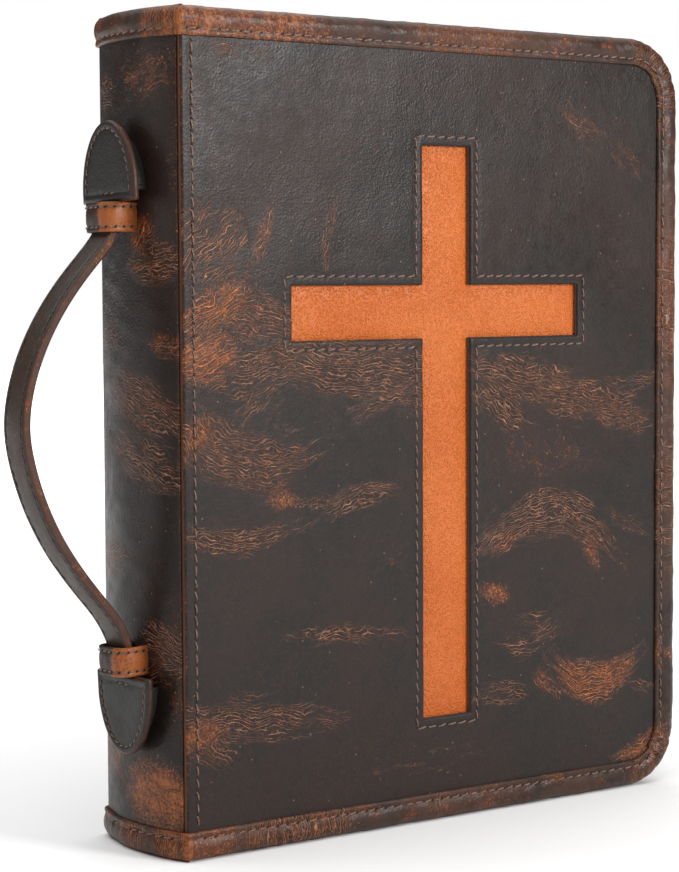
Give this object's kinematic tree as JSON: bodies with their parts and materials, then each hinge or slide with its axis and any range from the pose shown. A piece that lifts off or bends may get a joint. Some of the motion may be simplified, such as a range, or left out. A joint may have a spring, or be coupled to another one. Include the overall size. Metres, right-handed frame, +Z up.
{
  "type": "bible case with bible",
  "caption": "Upright leather Bible case with a cross window, rolled edges, a zip round three sides and a carry handle on the spine, holding a Bible.",
  "frame": {"origin": "centre of the bottom of the closed case's bounding box, handle included", "axes": "+Z up along the spine, +X from the spine towards the fore-edge, -Y out of the front cover with the cross"},
  "size_m": [0.2596, 0.053, 0.27],
  "materials": {
    "dark_leather": "distressed waxed leather, charcoal brown with rust marks, satin",
    "handle_leather": "waxed leather, grey-brown with a rust bloom, satin",
    "binding_leather": "rolled waxed leather, mottled rust brown, satin",
    "tan_leather": "pebbled tan leather, satin",
    "padding": "felt padding",
    "board": "grey board",
    "lining_fabric": "woven twill, matte",
    "elastic": "ribbed elastic",
    "zip_tape": "herringbone tape",
    "antique_brass": "antique brass, worn",
    "bible_leather": "grained black leather, satin",
    "paper": "thin paper",
    "head_band": "sewn silk"
  },
  "bodies": {
    "back_cover": {"back_panel": "dark_leather", "back_padding": "padding", "back_board": "board", "back_lining": "lining_fabric", "back_gusset": "binding_leather", "back_binding": "binding_leather", "back_sleeve": "lining_fabric", "back_zip_tape": "zip_tape", "back_zip_teeth": "antique_brass", "zip_stops": "antique_brass", "bible_back_cover": "bible_leather", "page_block": "paper", "head_bands": "head_band"},
    "spine": {"spine_panel": "dark_leather", "spine_padding": "padding", "spine_lining": "lining_fabric", "spine_binding_top": "binding_leather", "spine_binding_bottom": "binding_leather", "handle_patch_upper": "dark_leather", "handle_patch_lower": "dark_leather", "handle_keeper_upper": "handle_leather", "handle_keeper_lower": "handle_leather", "bible_spine": "bible_leather"},
    "front_cover": {"front_panel": "dark_leather", "cross_inlay": "tan_leather", "front_padding": "padding", "front_board": "board", "front_lining": "lining_fabric", "front_gusset": "binding_leather", "front_binding": "binding_leather", "front_sleeve": "lining_fabric", "front_zip_tape": "zip_tape", "front_zip_teeth": "antique_brass", "pen_loop_upper": "elastic", "pen_loop_lower": "elastic", "bible_front_cover": "bible_leather"},
    "leaves_1": {"front_leaves_1": "paper"},
    "leaves_2": {"front_leaves_2": "paper"},
    "leaves_3": {"front_leaves_3": "paper"},
    "slider": {"zip_slider": "antique_brass", "zip_slider_pin": "antique_brass"},
    "pull": {"zip_pull_tab": "antique_brass", "zip_pull_tag": "dark_leather"},
    "handle": {"handle_strap_outer": "handle_leather", "handle_strap_inner": "handle_leather"}
  },
  "joints": [
    {"name": "spine_fold", "type": "hinge", "parent": "back_cover", "child": "spine", "pos_m": [-0.08218, 0.0265, 0.135], "axis": [0, 0, -1], "range_deg": [0, 90]},
    {"name": "front_fold", "type": "hinge", "parent": "spine", "child": "front_cover", "pos_m": [-0.08218, -0.0265, 0.135], "axis": [0, 0, -1], "range_deg": [0, 180]},
    {"name": "leaf_turn_1", "type": "hinge", "parent": "back_cover", "child": "leaves_1", "pos_m": [-0.07018, -0.0162, 0.135], "axis": [0, 0, -1], "range_deg": [0, 90]},
    {"name": "leaf_turn_2", "type": "hinge", "parent": "back_cover", "child": "leaves_2", "pos_m": [-0.06878, -0.0148, 0.135], "axis": [0, 0, -1], "range_deg": [0, 65]},
    {"name": "leaf_turn_3", "type": "hinge", "parent": "back_cover", "child": "leaves_3", "pos_m": [-0.06738, -0.0134, 0.135], "axis": [0, 0, -1], "range_deg": [0, 40]},
    {"name": "zip_slide", "type": "slide", "parent": "back_cover", "child": "slider", "axis": [1, 0, 0], "range_m": [0, 0.15]},
    {"name": "pull_swing", "type": "hinge", "parent": "slider", "child": "pull", "pos_m": [-0.06018, 0, 0.26825], "axis": [0, -1, 0], "range_deg": [0, 120]},
    {"name": "handle_swing", "type": "hinge", "parent": "spine", "child": "handle", "pos_m": [-0.09289, -0.00298, 0.05993], "axis": [-0.0086, 0.0199, 0.9998], "range_deg": [-12, 12]}
  ],
  "couplings": [
    {"joint": "leaf_turn_1", "follows": "front_fold", "ratio": 0.5},
    {"joint": "leaf_turn_2", "follows": "front_fold", "ratio": 0.36},
    {"joint": "leaf_turn_3", "follows": "front_fold", "ratio": 0.22}
  ]
}
